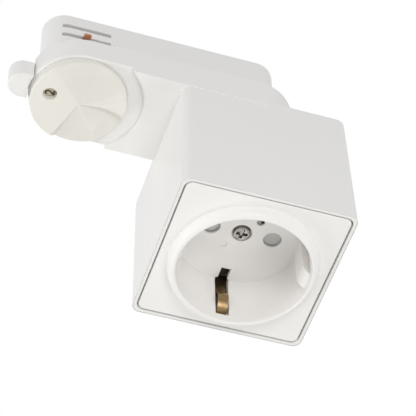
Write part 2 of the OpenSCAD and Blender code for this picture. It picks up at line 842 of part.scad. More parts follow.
// Slotted sleeve that takes a plug's pin, with a strap to its terminal on top of the base
module pin_contact(s) {
    roof = base_top - pocket_roof;
    color(brass) at_socket() translate([s * pin_pitch / 2, 0, 0]) {
        difference() {
            hole(tulip_d / 2, base_z + play, roof);
            hole(tulip_bore / 2, base_z + play - eps, roof - strap_t);
            for (turn = [0, 90])
                rotate([0, 0, turn])
                    translate([-tulip_d, -slit_w / 2, base_z]) cube([2 * tulip_d, slit_w, slit_len]);
        }
        translate([-strap_t / 2, -strap_w / 2, roof - eps])
            cube([strap_t, strap_w, pocket_roof + strap_t + eps]);
        difference() {
            translate([s > 0 ? -strap_t / 2 : strap_t / 2 - strap_len, -strap_half, base_top])
                cube([strap_len, 2 * strap_half, strap_t]);
            translate([s * (terminal_x - pin_pitch / 2), 0, 0])
                hole(terminal_screw_d / 2 + seat, base_top - eps, base_top + strap_t + eps);
        }
    }
}

module live_socket_contact() {
    pin_contact(-1);
}

module neutral_socket_contact() {
    pin_contact(1);
}

// Brass bow over the base, with a curved clip down each side of the recess
module clip_profile() {
    leg = cup_r - bow_t - seat;
    dip = leg - (recess_r - clip_bulge);
    arc_r = (pow(clip_half, 2) + pow(dip, 2)) / (2 * dip);
    arc_z = clip_slot_z + clip_rest + clip_half;
    translate([leg, arc_z + clip_half - bow_t]) square([bow_t, base_top + bow_t - arc_z - clip_half + bow_t]);
    intersection() {
        translate([leg - dip + arc_r, arc_z]) difference() {
            circle(arc_r);
            circle(arc_r - bow_t);
        }
        translate([0, arc_z - clip_half]) square([leg + bow_t, 2 * clip_half]);
    }
}

module earth_bow() {
    leg = cup_r - bow_t - seat;
    color(brass) at_socket() {
        difference() {
            translate([-bow_w / 2, -leg - bow_t, base_top]) cube([bow_w, 2 * (leg + bow_t), bow_t]);
            translate([0, terminal_y, 0])
                hole(terminal_screw_d / 2 + seat, base_top - eps, base_top + bow_t + eps);
        }
        for (turn = [90, 270])
            rotate([0, 0, turn]) rotate([90, 0, 0])
                translate([0, 0, -bow_w / 2]) linear_extrude(bow_w) clip_profile();
    }
}

module terminal_screws() {
    color(metal) at_socket() {
        for (s = [-1, 1])
            translate([s * terminal_x, 0, base_top + strap_t]) terminal_screw(strap_t);
        translate([0, terminal_y, base_top + bow_t]) terminal_screw(bow_t);
    }
}

module terminal_screw(grip) {
    difference() {
        hole(terminal_head_d / 2, 0, terminal_head_h);
        translate([0, 0, terminal_head_h])
            cube([2 * terminal_head_d, cross_w, 2 * cross_depth], center = true);
    }
    hole(terminal_screw_d / 2, -grip - terminal_screw_len + 2 * seat, eps);
}

// Knob with two scoops: two facets meet at a crease, one reaches to the foot of the broad end's wall,
// and the other falls to the foot of the narrow end's wall
function polar(r, a, z) = [r * cos(a), r * sin(a), z];

module scoop() {
    steps = 8;
    inner = 0.6;
    outer = knob_r + 1;
    rows = 5;
    narrow = crease_angle - narrow_edge;
    top = [
        for (i = [0 : steps])
            let (r = inner + (outer - inner) * i / steps, flare = narrow_flare * (1 - pow(r / outer, 2)))
                each [
                    polar(r, narrow - flare, knob_face),
                    polar(r, narrow - flare + narrow_wall, knob_face + narrow_depth * r / knob_r),
                    polar(r, crease_angle, knob_face + scoop_depth * r / knob_r),
                    polar(r, crease_angle + broad_edge - wall_angle, knob_face + wall_depth * r / knob_r),
                    polar(r, crease_angle + broad_edge, knob_face)
                ]
    ];
    bottom = [for (p = top) [p[0], p[1], knob_face - knob_t]];
    m = len(top);
    upper = [
        for (i = [0 : steps - 1], k = [0 : rows - 2])
            let (a = rows * i + k)
                [a, a + 1, a + rows + 1, a + rows]
    ];
    lower = [for (f = upper) [for (k = [3 : -1 : 0]) m + f[k]]];
    sides = [
        for (i = [0 : steps - 1])
            let (a = rows * i, b = a + rows - 1)
                each [
                    [a, a + rows, m + a + rows, m + a],
                    [b + rows, b, m + b, m + b + rows]
                ]
    ];
    ends = [
        for (k = [0 : rows - 2])
            let (a = m - rows + k)
                each [
                    [k + 1, k, m + k, m + k + 1],
                    [a, a + 1, m + a + 1, m + a]
                ]
    ];
    polyhedron(points = concat(top, bottom), faces = concat(upper, lower, sides, ends), convexity = 4);
}

module knob_profile() {
    steps = 5;
    polygon(concat(
        [[0, knob_back], [0, knob_face]],
        [
            for (i = [0 : steps])
                let (a = 90 * i / steps)
                    [knob_r - knob_edge + knob_edge * sin(a), knob_face + knob_edge - knob_edge * cos(a)]
        ],
        [[knob_r, knob_back]]
    ));
}

module selector_knob() {
    color(ivory) at_selector() {
        difference() {
            rotate_extrude() knob_profile();
            rotate([0, 0, grip_angle]) for (side = [0, 1])
                mirror([0, side, 0]) scoop();
            rotate([0, 0, window_angle])
                translate([window_dist, 0, 0]) hole(window_d / 2, knob_face - knob_t, knob_back + eps);
        }
        hole(stem_d / 2, knob_back - eps, cam_z);
        translate([-spigot_w / 2, -spigot_w / 2, cam_z - eps]) cube([spigot_w, spigot_w, slide_top - cam_z]);
    }
}

module number_dial() {
    color("wheat") at_selector() difference() {
        hole(dial_r, step_z, step_z + dial_t);
        hole(stem_d / 2 + play, step_z - eps, step_z + dial_t + eps);
    }
}

// Rotor in the tongue: detent cam below, three slots for the phase contacts, a journal on top
module blade_slot(i, gap) {
    rotate([0, 0, -90 + (1 - i) * detent_angle])
        translate([-blade_root, -blade_w / 2 - gap, blade_z + i * blade_step - blade_t / 2 - gap])
            cube([2 * blade_reach, blade_w + 2 * gap, blade_t + 2 * gap]);
}

module contact_rotor() {
    spigot_hole = spigot_w + seat;
    color(grey) at_selector() difference() {
        union() {
            hole(cam_r, cam_z, cam_z + cam_t);
            hole(neck_r, cam_z, rotor_top);
            hole(journal_r, rotor_top - eps, journal_top);
        }
        for (i = [-1 : 1])
            rotate([0, 0, 90 + i * detent_angle])
                translate([cam_r + notch_r / 2, 0, 0]) hole(notch_r, cam_z - eps, cam_z + cam_t + eps);
        translate([-spigot_hole / 2, -spigot_hole / 2, cam_z - eps])
            cube([spigot_hole, spigot_hole, slide_top - cam_z + seat]);
        for (i = [0 : 2])
            blade_slot(i, seat / 2);
    }
}

module phase_contact(i) {
    color(copper) at_selector() intersection() {
        blade_slot(i, 0);
        hole(blade_reach, 0, tongue_h);
    }
}

module phase_contact_1() {
    phase_contact(0);
}

module phase_contact_2() {
    phase_contact(1);
}

module phase_contact_3() {
    phase_contact(2);
}

module slip_ring() {
    color(copper) at_selector() difference() {
        hole(neck_r + seat / 2 + ring_t, ring_z, ring_z + ring_h);
        hole(neck_r + seat / 2, ring_z - eps, ring_z + ring_h + eps);
    }
}

// Flat strip along the tongue's wall: it wipes the slip ring and comes down to the live wire
module live_brush() {
    color(brass) translate([0, strip_t + seat / 2 - inner_r, 0]) rotate([90, 0, 0]) linear_extrude(strip_t) {
        translate([sel_x - brush_lead, ring_z]) square([brush_x + brush_w / 2 - sel_x + brush_lead, ring_h]);
        translate([brush_x - brush_w / 2, strip_foot]) square([brush_w, ring_z + ring_h - strip_foot]);
    }
}

// Strip with a bow that stands out through the tongue's wall
module bow_strip(mid, foot) {
    y0 = inner_r - seat / 2 - strip_t;
    out = tongue_r + bow_out - y0;
    arc_r = (pow(bow_rise, 2) + pow(out, 2)) / (2 * out);
    translate([y0, foot]) square([strip_t, mid - bow_rise - foot + strip_t]);
    intersection() {
        translate([y0 + out - arc_r, mid]) difference() {
            circle(arc_r);
            circle(arc_r - strip_t);
        }
        translate([y0, mid - arc_r]) square([out, 2 * arc_r]);
    }
    translate([y0, mid + bow_rise - strip_t]) square([strip_t, 2 * strip_t]);
}

module across(x, w) {
    translate([x - w / 2, 0, 0]) rotate([90, 0, 90]) linear_extrude(w) children();
}

module neutral_rail_contact() {
    color(brass) across(neutral_x, neutral_w) bow_strip(neutral_z, strip_foot);
}

module earth_rail_contact() {
    y0 = inner_r - seat / 2;
    color(brass) across(earth_x, earth_w) {
        for (side = [0, 1])
            mirror([side, 0]) bow_strip(earth_z, earth_bridge_z);
        translate([-y0, earth_bridge_z]) square([2 * y0, strip_t]);
    }
}

// Slider: tab outside the bar's end, plate round the rotor, pin for the bolt, tail for the spring
module lock_slider() {
    color(white) {
        difference() {
            union() {
                level(slide_z, slide_top) stadium(sel_x - slide_lead, bolt_lug_x - lock_pin_r, slide_r);
                translate([tab_face_x - tab_out / 2, -slide_neck_w / 2, slide_z])
                    cube([bar_r, slide_neck_w, slide_t]);
            }
            level(slide_z - eps, slide_top + eps) stadium(sel_x, sel_x + lock_travel, slot_r);
        }
        level(slide_top - tab_h, slide_top) difference() {
            stadium(tab_face_x - tab_out + tab_w / 2, tab_face_x + tab_w / 2, tab_w / 2);
            translate([sel_x, 0]) circle(bar_r + tab_gap);
        }
        translate([bolt_lug_x, 0, 0]) hole(lock_pin_r, slide_top - eps, bolt_z + bolt_t - seat);
        translate([bolt_lug_x, 0, tail_z]) rotate([0, 90, 0])
            cylinder(d = tail_d, h = tail_end + lug_disc_t - bolt_lug_x);
        translate([tail_end, 0, tail_z]) rotate([0, 90, 0]) cylinder(r = lug_disc_r, h = lug_disc_t);
    }
}

// Bolt across the tongue: the slider's pin draws it in along the slanted slot
module lock_bolt() {
    tilt = atan(bolt_ratio);
    run_len = lock_travel / cos(tilt);
    color(metal) difference() {
        across((bolt_x0 + bolt_x1) / 2, bolt_x1 - bolt_x0)
            polygon([
                [-bolt_nose, bolt_z],
                [bolt_back, bolt_z],
                [bolt_back, bolt_z + bolt_t],
                [-bolt_nose + bolt_t - nose_flat, bolt_z + bolt_t],
                [-bolt_nose, bolt_z + nose_flat]
            ]);
        translate([bolt_lug_x, 0, 0]) rotate([0, 0, tilt])
            level(bolt_z - eps, bolt_z + bolt_t + eps) stadium(-run_len, 0, pin_slot_r);
    }
}

module lock_spring() {
    coil_rings = 12;
    start = rib_x + rib_t + spring_wire / 2 + seat;
    pitch = (spring_len - spring_wire - 2 * seat) / (spring_turns * coil_rings);
    coil = [
        for (i = [0 : spring_turns * coil_rings])
            let (a = 360 * i / coil_rings)
                [start + i * pitch, spring_r * cos(a), tail_z + spring_r * sin(a)]
    ];
    color(metal) tube(coil, spring_wire / 2, coil_sides, [1, 0, 0]);
}

// Leaf whose nose drops into the cam's notches
module detent_spring() {
    leaf_z1 = cam_z + cam_t;
    color(metal) at_selector() level(cam_z, leaf_z1) {
        translate([-leaf_half - leaf_seat_w / 2, leaf_y - leaf_t / 2])
            square([2 * leaf_half + leaf_seat_w, leaf_t]);
        intersection() {
            translate([0, leaf_y + leaf_t / 2]) difference() {
                circle(notch_r);
                circle(notch_r - leaf_t);
            }
            translate([-notch_r, leaf_y - notch_r]) square([2 * notch_r, notch_r]);
        }
    }
}

module body_screws() {
    color(metal) body_screw_places() {
        hole(body_screw_d / 2, -body_screw_len, -body_head_h + eps);
        translate([0, 0, -body_head_h])
            cylinder(d1 = body_screw_d, d2 = body_head_d, h = body_head_h - seat);
    }
}

module wire(route) {
    tube(smooth(route, wire_steps), wire_r, wire_sides, wire_lean);
}

module live_wire() {
    color("saddlebrown") wire(live_route);
}

module neutral_wire() {
    color("steelblue") wire(neutral_route);
}

module earth_wire() {
    color("yellowgreen") wire(earth_route);
}

housing();
track_body();
socket_plate();
socket_base();
centre_screw();
base_screws();
shutter();
shutter_spring();
live_socket_contact();
neutral_socket_contact();
earth_bow();
terminal_screws();
selector_knob();
number_dial();
contact_rotor();
phase_contact_1();
phase_contact_2();
phase_contact_3();
slip_ring();
live_brush();
neutral_rail_contact();
earth_rail_contact();
lock_slider();
lock_bolt();
lock_spring();
detent_spring();
body_screws();
live_wire();
neutral_wire();
earth_wire();
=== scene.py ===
import math
import bmesh
import bpy
from mathutils import Matrix, Vector


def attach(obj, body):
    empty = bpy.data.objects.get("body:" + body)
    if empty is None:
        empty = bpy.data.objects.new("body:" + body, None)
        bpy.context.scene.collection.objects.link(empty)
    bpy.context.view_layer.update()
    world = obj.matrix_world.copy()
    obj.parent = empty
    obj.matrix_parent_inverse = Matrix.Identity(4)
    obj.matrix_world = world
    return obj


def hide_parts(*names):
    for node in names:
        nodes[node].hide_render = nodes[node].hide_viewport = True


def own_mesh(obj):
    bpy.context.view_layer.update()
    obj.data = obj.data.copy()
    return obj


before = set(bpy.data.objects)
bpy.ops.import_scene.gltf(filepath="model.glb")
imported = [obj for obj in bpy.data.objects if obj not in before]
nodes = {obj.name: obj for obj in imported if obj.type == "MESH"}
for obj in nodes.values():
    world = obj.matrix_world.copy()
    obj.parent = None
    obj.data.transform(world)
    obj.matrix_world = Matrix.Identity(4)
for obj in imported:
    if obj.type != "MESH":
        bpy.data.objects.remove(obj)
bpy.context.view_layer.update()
scene = bpy.context.scene
scene.view_settings.view_transform = "Standard"


# Camera: below the adapter and towards the selector's end, with a long lens.
# Its place and lean were fitted to the corners of the square plate and to the pin holes.
camera_at = Vector((-0.1410, -0.3582, -0.5085))
camera_azimuth, camera_drop, camera_roll = math.radians(19.50), math.radians(50.52), math.radians(-1.94)
camera_back = Vector((
    -math.sin(camera_azimuth) * math.cos(camera_drop),
    -math.cos(camera_azimuth) * math.cos(camera_drop),
    -math.sin(camera_drop),
))
level_right = (-camera_back).cross(Vector((0, 0, 1))).normalized()
level_up = level_right.cross(-camera_back)
camera_right = level_right * math.cos(camera_roll) + level_up * math.sin(camera_roll)
camera_up = level_up * math.cos(camera_roll) - level_right * math.sin(camera_roll)
camera_data = bpy.data.cameras.new("camera")
camera_data.lens = 179.83
camera_data.sensor_width = 36.0
camera = bpy.data.objects.new("camera", camera_data)
camera.matrix_world = Matrix(
    [[camera_right[i], camera_up[i], camera_back[i], camera_at[i]] for i in range(3)] + [[0, 0, 0, 1]]
)
scene.collection.objects.link(camera)
scene.camera = camera


# Room: a pale floor well below the camera, an even white surround and soft lamps.
# The surround is white to the camera and in reflections, and a plain grey light otherwise.
def rgb(code):
    """sRGB hex to a linear colour."""
    parts = [int(code[i:i + 2], 16) / 255 for i in (1, 3, 5)]
    return tuple(c / 12.92 if c <= 0.04045 else ((c + 0.055) / 1.055) ** 2.4 for c in parts) + (1.0,)


def add(tree, kind, links=(), sets=(), **settings):
    """One node with its settings, its socket values and its links."""
    node = tree.nodes.new(kind)
    for name, value in settings.items():
        setattr(node, name, value)
    for socket, value in dict(sets).items():
        node.inputs[socket].default_value = value
    for socket, source in dict(links).items():
        tree.links.new(source, node.inputs[socket])
    return node


grey_light = 0.48
surround = bpy.data.worlds.new("surround")
surround.use_nodes = True
scene.world = surround
tree = surround.node_tree
tree.nodes.clear()
path = add(tree, "ShaderNodeLightPath")
seen = add(tree, "ShaderNodeMath", {0: path.outputs["Is Camera Ray"], 1: path.outputs["Is Glossy Ray"]},
           operation="MAXIMUM")
seen = add(tree, "ShaderNodeMath", {0: seen.outputs[0], 1: path.outputs["Is Transmission Ray"]},
           operation="MAXIMUM")
level = add(tree, "ShaderNodeMapRange", {"Value": seen.outputs[0]}, {"To Min": grey_light, "To Max": 1.0})
glow = add(tree, "ShaderNodeBackground", {"Strength": level.outputs[0]}, {"Color": (1, 1, 1, 1)})
add(tree, "ShaderNodeOutputWorld", {"Surface": glow.outputs[0]})

floor_z, floor_half = -0.75, 1.6
bpy.ops.object.select_all(action="DESELECT")
bpy.ops.mesh.primitive_plane_add(size=2 * floor_half, location=(0, 0, floor_z))
floor = bpy.context.object
floor.name = "floor"
floor_paint = bpy.data.materials.new("floor_paint")
floor_paint.use_nodes = True
floor_paint.node_tree.nodes["Principled BSDF"].inputs["Base Color"].default_value = rgb("#F2F2F0")
floor_paint.node_tree.nodes["Principled BSDF"].inputs["Roughness"].default_value = 0.9
floor.data.materials.append(floor_paint)

target = Vector((-0.02, 0.005, -0.03))
for name, at, size, watts in (
    ("key_lamp", (0.08, 0.46, -0.60), 0.12, 0.28),
    ("far_left_lamp", (-0.55, 0.45, -0.35), 0.40, 1.25),
    ("left_lamp", (-0.70, 0.08, -0.07), 0.30, 1.00),
    ("near_left_lamp", (-0.34, -0.56, -0.38), 0.30, 0.26),
    ("near_lamp", (0.0, -0.62, -0.38), 0.30, 1.55),
    ("right_lamp", (0.45, 0.0, -0.60), 0.30, 0.72),
):
    lamp_data = bpy.data.lights.new(name, "AREA")
    lamp_data.shape = "DISK"
    lamp_data.size = size
    lamp_data.energy = watts
    lamp = bpy.data.objects.new(name, lamp_data)
    lamp.location = at
    lamp.rotation_mode = "QUATERNION"
    lamp.rotation_quaternion = (target - Vector(at)).to_track_quat("-Z", "Y")
    scene.collection.objects.link(lamp)


# Housing: one moulding, a bar with round ends and the square box that hangs below it.
# White ABS from a lightly grained mould, with every outer edge broken; it screws to the track body.
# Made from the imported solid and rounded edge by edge: bar, step, box, then the thin rim.
def new_finish(name):
    """A material with its node tree, its shader and the place on the piece that its patterns read."""
    material = bpy.data.materials.new(name)
    material.use_nodes = True
    tree = material.node_tree
    place = add(tree, "ShaderNodeTexCoord").outputs["Object"]
    return material, tree, tree.nodes["Principled BSDF"], place


def noise(tree, place, width, detail):
    """A cloudy pattern whose features are about so many millimetres wide."""
    return add(tree, "ShaderNodeTexNoise", {"Vector": place}, {"Scale": 1000 / width, "Detail": detail})


def blend(tree, share, first, second):
    """A colour that goes from one sRGB hex to another."""
    return add(tree, "ShaderNodeMix", {0: share}, {6: rgb(first), 7: rgb(second)}, data_type="RGBA")


def spread(tree, value, low, high):
    """A pattern brought to lie between two levels."""
    return add(tree, "ShaderNodeMapRange", {"Value": value}, {"To Min": low, "To Max": high})


def steepen(tree, value, low, high):
    """A pattern made sharper, with none of it up to one level and all of it from another."""
    return add(tree, "ShaderNodeMapRange", {"Value": value}, {"From Min": low, "From Max": high})


def bump(tree, height, strength, depth):
    """Fine relief, with its depth in millimetres."""
    return add(tree, "ShaderNodeBump", {"Height": height}, {"Strength": strength, "Distance": depth / 1000})


def connect(tree, shader, tone, gloss, relief=None):
    """Gives a shader its colour, its roughness and, where there is one, its relief."""
    tree.links.new(tone.outputs[2], shader.inputs["Base Color"])
    tree.links.new(gloss.outputs[0], shader.inputs["Roughness"])
    if relief:
        tree.links.new(relief.outputs[0], shader.inputs["Normal"])


def select_only(piece):
    """Makes a piece the one that the next operators work on."""
    bpy.ops.object.select_all(action="DESELECT")
    piece.select_set(True)
    bpy.context.view_layer.objects.active = piece


def copy_of(node, name):
    """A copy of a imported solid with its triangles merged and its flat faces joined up."""
    piece = bpy.data.objects.new(name, nodes[node].data.copy())
    piece.data.name = name
    scene.collection.objects.link(piece)
    select_only(piece)
    bpy.ops.mesh.customdata_custom_splitnormals_clear()
    bpy.ops.object.mode_set(mode="EDIT")
    bpy.ops.mesh.select_all(action="SELECT")
    bpy.ops.mesh.remove_doubles(threshold=1e-6)
    bpy.ops.mesh.dissolve_limited(angle_limit=math.radians(0.3))
    bpy.ops.object.mode_set(mode="OBJECT")
    return piece


def round_edges(piece, where, width, segments=3, sharper=25, slide=True):
    """Rounds the sharp edges of a piece whose two ends lie where the test says; all in millimetres."""
    select_only(piece)
    bpy.ops.object.mode_set(mode="EDIT")
    bpy.ops.mesh.select_mode(type="EDGE")
    bpy.ops.mesh.select_all(action="DESELECT")
    shape = bmesh.from_edit_mesh(piece.data)
    for edge in shape.edges:
        if edge.calc_face_angle(0) > math.radians(sharper) and all(where(*(v.co * 1000)) for v in edge.verts):
            edge.select_set(True)
    bmesh.update_edit_mesh(piece.data)
    bpy.ops.mesh.bevel(offset=width / 1000, segments=segments, affect="EDGES", clamp_overlap=False,
                       loop_slide=slide)
    bpy.ops.object.mode_set(mode="OBJECT")


def stand_for(piece, node, body, material, smooth=32):
    """Shades a finished piece, with its flats kept flat, and puts it in the place of its solid."""
    select_only(piece)
    bpy.ops.object.shade_smooth_by_angle(angle=math.radians(smooth))
    flats = piece.modifiers.new("flats", "WEIGHTED_NORMAL")
    flats.keep_sharp = True
    flats.weight = 80
    bpy.ops.object.modifier_apply(modifier="flats")
    piece.data.materials.clear()
    piece.data.materials.append(material)
    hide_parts(node)
    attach(piece, body)


# Moulded ABS: an even warm white with a soft sheen. The melt leaves clouds some 25 mm wide that are
# barely seen, and the mould's grain, 0.1 mm in truth and drawn at 0.4 mm, breaks up the highlights.
white_abs, tree, shader, place = new_finish("moulded_white_abs")
cloud = noise(tree, place, 25, 3.0)
tone = blend(tree, cloud.outputs["Fac"], "#F0EFED", "#F4F3F1")
patch = noise(tree, place, 6, 4.0)
gloss = spread(tree, patch.outputs["Fac"], 0.34, 0.46)
grain = noise(tree, place, 0.4, 2.0)
relief = bump(tree, grain.outputs["Fac"], 0.25, 0.01)
connect(tree, shader, tone, gloss, relief)

selector_x, bar_end_x, bar_half = -53.8, -2.0, 15.1
bar_under, step_z, step_r = -11.0, -9.6, 19.2
socket_y, box_half, plate_z, groove_half = 10.9, 26.3, -55.5, 25.25
# How near a point counts as on a level and on a side, and the bands that hold each run of edges.
on_level, on_side = 0.05, 0.1
bar_clear_x, bar_top_band, rim_band = -26, -0.9, 0.9
roof_low, roof_high, roof_band, roof_off_bar = -10, -7.5, 2.2, 0.4
bar_round, top_round, roof_round, box_round, groove_round = 0.9, 0.3, 0.5, 0.45, 0.2


def from_bar_line(x, y):
    """How far a point lies from the line between the centres of the bar's two round ends."""
    return math.hypot(x - min(max(x, selector_x), bar_end_x), y)


def from_socket(x, y):
    """How far a point lies from the socket's axis, measured square to the box."""
    return max(abs(x), abs(y - socket_y))


housing = copy_of("housing", "housing_shell")
round_edges(housing, lambda x, y, z: bar_under - on_side < z < step_z + on_side and x < bar_clear_x
            and from_bar_line(x, y) > bar_half - on_side, bar_round, 4)
round_edges(housing, lambda x, y, z: abs(z - bar_under) < on_level
            and abs(math.hypot(x - selector_x, y) - step_r) < on_side, bar_round, 5)
round_edges(housing, lambda x, y, z: z > bar_top_band
            and from_bar_line(x, y) > bar_half - on_side, top_round)
round_edges(housing, lambda x, y, z: roof_low < z < roof_high and from_socket(x, y) > box_half - roof_band
            and from_bar_line(x, y) > bar_half + roof_off_bar, roof_round, sharper=15)
round_edges(housing, lambda x, y, z: abs(z - plate_z) < on_level
            and from_socket(x, y) > box_half - rim_band, box_round)
round_edges(housing, lambda x, y, z: abs(z - plate_z) < on_level
            and from_socket(x, y) < groove_half + on_level, groove_round, 2)
stand_for(housing, "housing", "adapter", white_abs)


# Track body: the flange that closes the bar and the hollow tongue that stands up from it.
# White ABS like the housing; its rim and the two lugs that carry the weight have rounded edges.
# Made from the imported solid, with those edges rounded.
flange_r, flange_round = 12.5, 0.2
lug_low, lug_high, lug_y, lug_round = 2.0, 5.0, 8.0, 0.3
tongue = copy_of("track_body", "track_body_moulding")
round_edges(tongue, lambda x, y, z: abs(z) < on_level and from_bar_line(x, y) > flange_r, flange_round, 2)
round_edges(tongue, lambda x, y, z: lug_low < z < lug_high and y > lug_y, lug_round)
stand_for(tongue, "track_body", "adapter", white_abs)


# Socket plate: square plate, round collar and plug recess in one moulding, set flush in the box.
# White polycarbonate from a polished mould; the collar is a soft roll and the slots have small rounds.
plate_half, floor_level, rim_level = 24.75, -41.2, -58.9
guide_lead_z, guide_r, guide_round = -54.5, 18.5, 1.8
mouth_r, floor_r = 20, 14.5
below_roll, above_floor, roll_band = 0.9, 0.2, 0.6
plate_round, slot_round, roll_round = 0.35, 0.2, 0.1
# Polycarbonate: a cleaner white than the housing's, with much the same soft sheen and faint flow clouds.
# Its only relief is the long wave of the mould's polish, a few millimetres wide.
white_pc, tree, shader, place = new_finish("polished_white_polycarbonate")
cloud = noise(tree, place, 18, 3.0)
tone = blend(tree, cloud.outputs["Fac"], "#F6F4F1", "#F9F7F5")
patch = noise(tree, place, 5, 4.0)
gloss = spread(tree, patch.outputs["Fac"], 0.38, 0.48)
wave = noise(tree, place, 3, 1.0)
relief = bump(tree, wave.outputs["Fac"], 0.15, 0.02)
connect(tree, shader, tone, gloss, relief)


def from_axis(x, y):
    """How far a point lies from the socket's axis."""
    return math.hypot(x, y - socket_y)


plate = copy_of("socket_plate", "socket_plate_moulding")
round_edges(plate, lambda x, y, z: abs(z - plate_z) < on_level
            and from_socket(x, y) > plate_half - rim_band, plate_round, slide=False)
round_edges(plate, lambda x, y, z: abs(z - guide_lead_z) < on_side and from_axis(x, y) < guide_r,
            guide_round, 6)
round_edges(plate, lambda x, y, z: rim_level + below_roll < z < floor_level - above_floor
            and from_axis(x, y) < mouth_r, slot_round)
round_edges(plate, lambda x, y, z: z < rim_level + roll_band and from_axis(x, y) < mouth_r, roll_round, 2)
round_edges(plate, lambda x, y, z: abs(z - floor_level) < on_level and from_axis(x, y) < floor_r,
            slot_round)
stand_for(plate, "socket_plate", "adapter", white_pc)


# Socket base and contact rotor: the insulating blocks that carry the contacts.
# Dark phenolic, pressed in a heated mould; they show only through slots and windows.
# Pressed phenolic: a dark matt brown, with paler specks of its wood flour about half a millimetre wide.
phenolic, tree, shader, place = new_finish("pressed_dark_phenolic")
specks = noise(tree, place, 0.5, 3.0)
share = steepen(tree, specks.outputs["Fac"], 0.45, 0.75)
tone = blend(tree, share.outputs[0], "#3B3632", "#5A524B")
gloss = spread(tree, specks.outputs["Fac"], 0.5, 0.7)
relief = bump(tree, specks.outputs["Fac"], 0.2, 0.02)
connect(tree, shader, tone, gloss, relief)


def dress(material, *names):
    """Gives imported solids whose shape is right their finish."""
    for name in names:
        nodes[name].data.materials.clear()
        nodes[name].data.materials.append(material)


dress(phenolic, "socket_base", "contact_rotor")


# Shutter: a flat cross arm that turns on the base's boss and closes both pin holes.
# Grey acetal, moulded; only the two round spots behind the pin holes are seen.
# Moulded acetal: a waxy mid grey with a low sheen and faint mottling about 2 mm wide.
grey_acetal, tree, shader, place = new_finish("moulded_grey_acetal")
mottle = noise(tree, place, 2, 3.0)
tone = blend(tree, mottle.outputs["Fac"], "#C3C3C0", "#CDCDCA")
gloss = spread(tree, mottle.outputs["Fac"], 0.42, 0.54)
grain = noise(tree, place, 0.3, 1.0)
relief = bump(tree, grain.outputs["Fac"], 0.2, 0.01)
connect(tree, shader, tone, gloss, relief)

shutter_round = 0.15
shutter = copy_of("shutter", "shutter_arm")
round_edges(shutter, lambda x, y, z: True, shutter_round, 2)
stand_for(shutter, "shutter", "shutter", grey_acetal)


# Earth bow, pin contacts, brush and the tongue's contacts: strips stamped and bent from spring brass.
# The bow's two clips curve into the recess; its stamped edges are slightly rolled over.
# Rolled brass: a pale brown yellow that has dulled, with fine lines along the strip, 0.05 mm apart in
# truth and drawn at 0.25 mm, and patches of tarnish some 3 mm wide that are darker and rougher.
brass, tree, shader, place = new_finish("rolled_spring_brass")
stretch = add(tree, "ShaderNodeMapping", {"Vector": place}, {"Scale": (1.0, 0.08, 0.08)})
lines = noise(tree, stretch.outputs[0], 0.25, 2.0)
tarnish = noise(tree, place, 3, 4.0)
share = steepen(tree, tarnish.outputs["Fac"], 0.4, 0.7)
tone = blend(tree, share.outputs[0], "#A98F68", "#7F694C")
gloss = spread(tree, share.outputs[0], 0.30, 0.48)
relief = bump(tree, lines.outputs["Fac"], 0.2, 0.01)
shader.inputs["Metallic"].default_value = 1.0
connect(tree, shader, tone, gloss, relief)

strip_round = 0.08
bow = copy_of("earth_bow", "earth_bow_strip")
round_edges(bow, lambda x, y, z: True, strip_round, 2, sharper=40)
stand_for(bow, "earth_bow", "adapter", brass)
dress(brass, "live_socket_contact", "neutral_socket_contact", "live_brush", "neutral_rail_contact",
      "earth_rail_contact")


# Screws and the lock bolt: the socket's centre screw, the base, body and terminal screws.
# Turned steel with a bright nickel plate; the centre screw's cross and rim are slightly rounded.
# Nickel plate: a warm mid grey mirror, dulled by haze in patches about a millimetre wide and by
# the turning marks under it, drawn at 0.2 mm.
nickel, tree, shader, place = new_finish("nickel_plated_steel")
haze = noise(tree, place, 1.2, 3.0)
tone = blend(tree, haze.outputs["Fac"], "#9C9994", "#86837E")
gloss = spread(tree, haze.outputs["Fac"], 0.16, 0.34)
marks = noise(tree, place, 0.2, 1.0)
relief = bump(tree, marks.outputs["Fac"], 0.15, 0.01)
shader.inputs["Metallic"].default_value = 1.0
connect(tree, shader, tone, gloss, relief)

head_top_z, head_round = -40.4, 0.12
screw = copy_of("centre_screw", "centre_screw_head")
round_edges(screw, lambda x, y, z: z < head_top_z, head_round, 2, sharper=30)
stand_for(screw, "centre_screw", "adapter", nickel)
dress(nickel, "base_screws", "terminal_screws", "body_screws", "lock_bolt")


# Springs: the shutter's coil, the lock's coil and the selector's detent leaf.
# Hard drawn steel, left bright and oiled, wound or bent to shape.
# Drawn wire: a cooler and slightly lighter grey than the plated screws, with die lines drawn at
# 0.15 mm and an oily haze in patches of 2 mm.
drawn_steel, tree, shader, place = new_finish("drawn_spring_steel")
oil = noise(tree, place, 2, 3.0)
tone = blend(tree, oil.outputs["Fac"], "#A6A7A9", "#88898C")
gloss = spread(tree, oil.outputs["Fac"], 0.22, 0.40)
lines = noise(tree, place, 0.15, 1.0)
relief = bump(tree, lines.outputs["Fac"], 0.2, 0.01)
shader.inputs["Metallic"].default_value = 1.0
connect(tree, shader, tone, gloss, relief)
dress(drawn_steel, "shutter_spring", "detent_spring")

# The lock's coil gets a mesh of its own; in the real lock it shortens against its fixed end as the tab is
# pulled out.
coil = copy_of("lock_spring", "lock_spring_coil")
stand_for(coil, "lock_spring", "adapter", drawn_steel, smooth=50)
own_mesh(coil)


